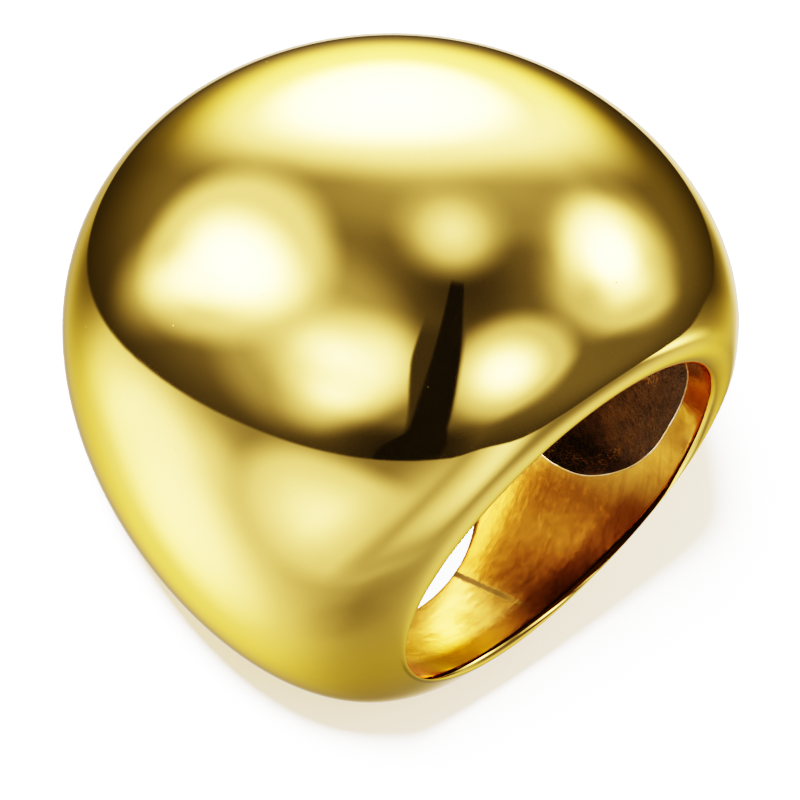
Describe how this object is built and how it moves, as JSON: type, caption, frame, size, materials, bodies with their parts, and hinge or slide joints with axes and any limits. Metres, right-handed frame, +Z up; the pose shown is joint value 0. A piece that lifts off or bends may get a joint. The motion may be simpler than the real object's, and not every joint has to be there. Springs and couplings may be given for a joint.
{
  "type": "domed finger ring",
  "caption": "Wide polished dome ring for a finger: a hollow cast dome that tapers to a narrow shank, with slanted flat rims and a round finger hole.",
  "frame": {"origin": "centre of the base of the ring's box, on the surface that the ring lies on", "axes": "+Z up from that surface, +X across the finger; the dome faces -Y; the finger hole's axis lies in the YZ plane and leans 34.7 degrees from +Z towards +Y"},
  "size_m": [0.03, 0.0294, 0.027],
  "materials": {
    "gold_finish": "mirror-polished gold colour outside, brushed in the finger hole, dark rough cast inside the dome"
  },
  "bodies": {
    "root": {"domed_ring": "gold_finish"}
  },
  "joints": []
}
